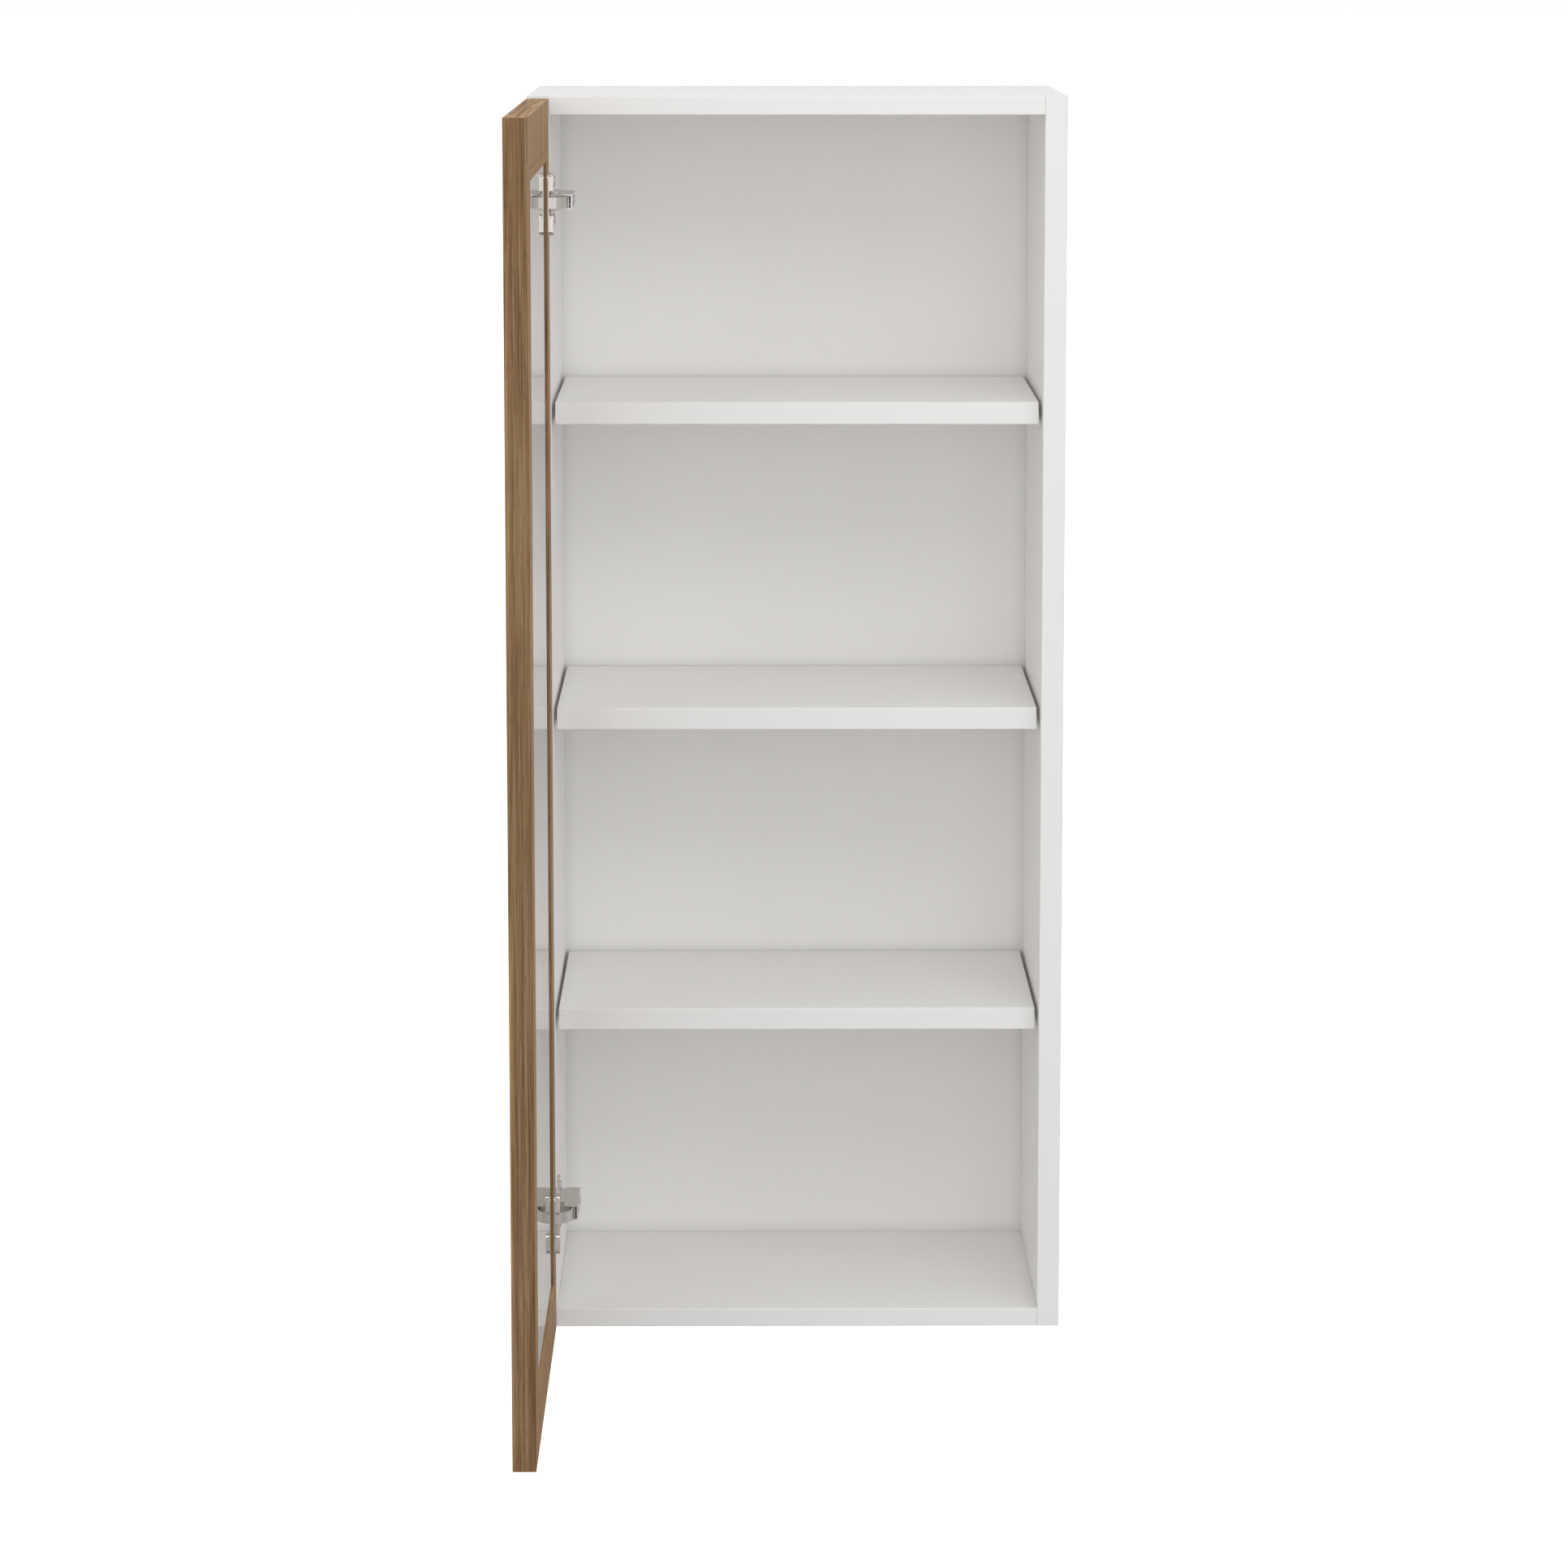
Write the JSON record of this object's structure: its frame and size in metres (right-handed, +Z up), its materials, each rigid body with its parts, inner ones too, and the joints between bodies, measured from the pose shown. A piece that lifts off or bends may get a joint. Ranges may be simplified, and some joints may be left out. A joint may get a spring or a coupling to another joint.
{
  "type": "wall cabinet",
  "caption": "Tall hanging wall cabinet with a white frameless carcass, adjustable shelves and a framed glass door on concealed hinges, shown with the door open.",
  "frame": {"origin": "middle of the carcass's rear face, on the wall plane", "axes": "+Z up, +X to the right seen from the front, +Y out of the rear face into the wall, so the front looks along -Y"},
  "size_m": [0.4572, 0.7704, 1.0668],
  "materials": {
    "white_board": "satin white melamine on board",
    "white_edge": "satin white edge band",
    "walnut": "satin walnut, grain upright",
    "glass": "clear, polished",
    "nickel": "satin nickel plate",
    "zinc": "zinc plate",
    "beech": "raw, fluted dowel stock",
    "seal": "clear grey foam tape"
  },
  "bodies": {
    "carcass": {"left_side_panel": "white_board", "right_side_panel": "white_board", "top_panel": "white_board", "bottom_panel": "white_board", "back_panel": "white_board", "upper_shelf": "white_board", "middle_shelf": "white_board", "lower_shelf": "white_board", "side_edge_bands": "white_edge", "deck_edge_bands": "white_edge", "shelf_edge_bands": "white_edge", "upper_shelf_pins": "nickel", "middle_shelf_pins": "nickel", "lower_shelf_pins": "nickel", "cam_locks": "zinc", "cam_bolts": "zinc", "back_screws": "zinc", "carcass_dowels": "beech", "upper_hinge_arm": "nickel", "upper_hinge_mounting_plate": "nickel", "upper_hinge_pivot_pin": "zinc", "upper_hinge_arm_screws": "zinc", "upper_hinge_plate_screws": "zinc", "lower_hinge_arm": "nickel", "lower_hinge_mounting_plate": "nickel", "lower_hinge_pivot_pin": "zinc", "lower_hinge_arm_screws": "zinc", "lower_hinge_plate_screws": "zinc"},
    "door": {"door_dowels": "beech", "door_hinge_stile": "walnut", "door_free_stile": "walnut", "door_top_rail": "walnut", "door_bottom_rail": "walnut", "glass_beads": "walnut", "door_glass": "glass", "glass_seal": "seal", "upper_hinge_cup": "nickel", "upper_hinge_cup_screws": "zinc", "lower_hinge_cup": "nickel", "lower_hinge_cup_screws": "zinc"},
    "upper_link": {"upper_hinge_link": "nickel"},
    "lower_link": {"lower_hinge_link": "nickel"}
  },
  "joints": [
    {"name": "door_swing", "type": "hinge", "parent": "carcass", "child": "door", "pos_m": [-0.2231, -0.32035, 0], "axis": [0, 0, -1], "range_deg": [-90, 15]},
    {"name": "upper_link_turn", "type": "hinge", "parent": "carcass", "child": "upper_link", "pos_m": [-0.1946, -0.3017, 0.4445], "axis": [0, 0, -1], "range_deg": [-5, 29.5]},
    {"name": "lower_link_turn", "type": "hinge", "parent": "carcass", "child": "lower_link", "pos_m": [-0.1946, -0.3017, -0.4318], "axis": [0, 0, -1], "range_deg": [-5, 29.5]}
  ],
  "couplings": [
    {"joint": "upper_link_turn", "follows": "door_swing", "ratio": -0.32},
    {"joint": "lower_link_turn", "follows": "door_swing", "ratio": -0.32}
  ]
}
